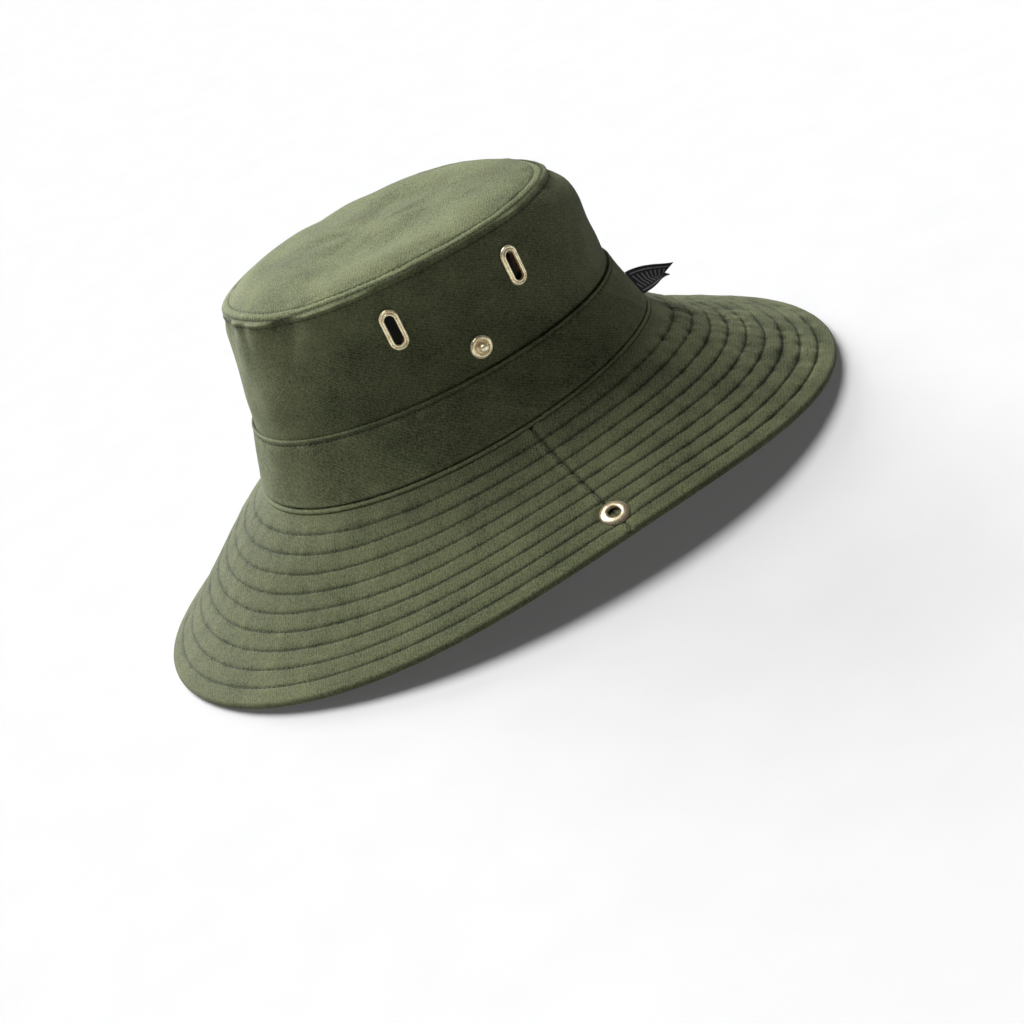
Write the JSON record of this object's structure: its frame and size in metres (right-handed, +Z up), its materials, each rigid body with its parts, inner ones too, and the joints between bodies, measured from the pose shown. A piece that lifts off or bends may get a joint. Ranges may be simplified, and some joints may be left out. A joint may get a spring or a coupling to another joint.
{
  "type": "bucket hat",
  "caption": "Wide-brimmed cotton bucket hat with a stitched drooping brim whose sides fold up onto snaps, a turned band, oblong vent eyelets and a small label.",
  "frame": {"origin": "centre of the bounding box's base, where the brim stands on the floor", "axes": "+Z up the crown, -Y to the wearer's front, +X to the wearer's left"},
  "size_m": [0.3094, 0.3646, 0.149],
  "materials": {
    "cloth": "olive cotton twill",
    "lining": "dark olive plain-weave cotton",
    "sweatband": "dark olive twill tape",
    "stiffener": "off-white fusible interlining",
    "brass": "pale polished brass plate",
    "label": null
  },
  "bodies": {
    "hat": {"crown_wall": "cloth", "crown_tip": "cloth", "hat_band": "cloth", "brim_top_front": "cloth", "brim_top_back": "cloth", "brim_under": "cloth", "lining_wall": "lining", "lining_tip": "lining", "sweatband": "sweatband", "brim_stiffener": "stiffener", "left_front_eyelet": "brass", "left_front_eyelet_washer": "brass", "left_back_eyelet": "brass", "left_back_eyelet_washer": "brass", "left_snap_stud": "brass", "left_snap_stud_cap": "brass", "right_front_eyelet": "brass", "right_front_eyelet_washer": "brass", "right_back_eyelet": "brass", "right_back_eyelet_washer": "brass", "right_snap_stud": "brass", "right_snap_stud_cap": "brass"},
    "left_flap": {"left_flap_top_front": "cloth", "left_flap_top_back": "cloth", "left_flap_under": "cloth", "left_flap_stiffener": "stiffener", "left_snap_socket": "brass", "left_snap_socket_cap": "brass"},
    "right_flap": {"right_flap_top_front": "cloth", "right_flap_top_back": "cloth", "right_flap_under": "cloth", "right_flap_stiffener": "stiffener", "right_snap_socket": "brass", "right_snap_socket_cap": "brass"},
    "label": {"back_label": "label"}
  },
  "joints": [
    {"name": "left_brim_fold", "type": "hinge", "parent": "hat", "child": "left_flap", "pos_m": [0.0914, 0.00082, 0.04789], "axis": [0, -0.9997, -0.0228], "range_deg": [0, 126]},
    {"name": "right_brim_fold", "type": "hinge", "parent": "hat", "child": "right_flap", "pos_m": [-0.0914, 0.00082, 0.04789], "axis": [0, 0.9997, 0.0228], "range_deg": [0, 126]},
    {"name": "label_swing", "type": "hinge", "parent": "hat", "child": "label", "pos_m": [0.02, 0.09997, 0.0682], "axis": [0, -0.3541, 0.9352], "range_deg": [-60, 45]}
  ]
}
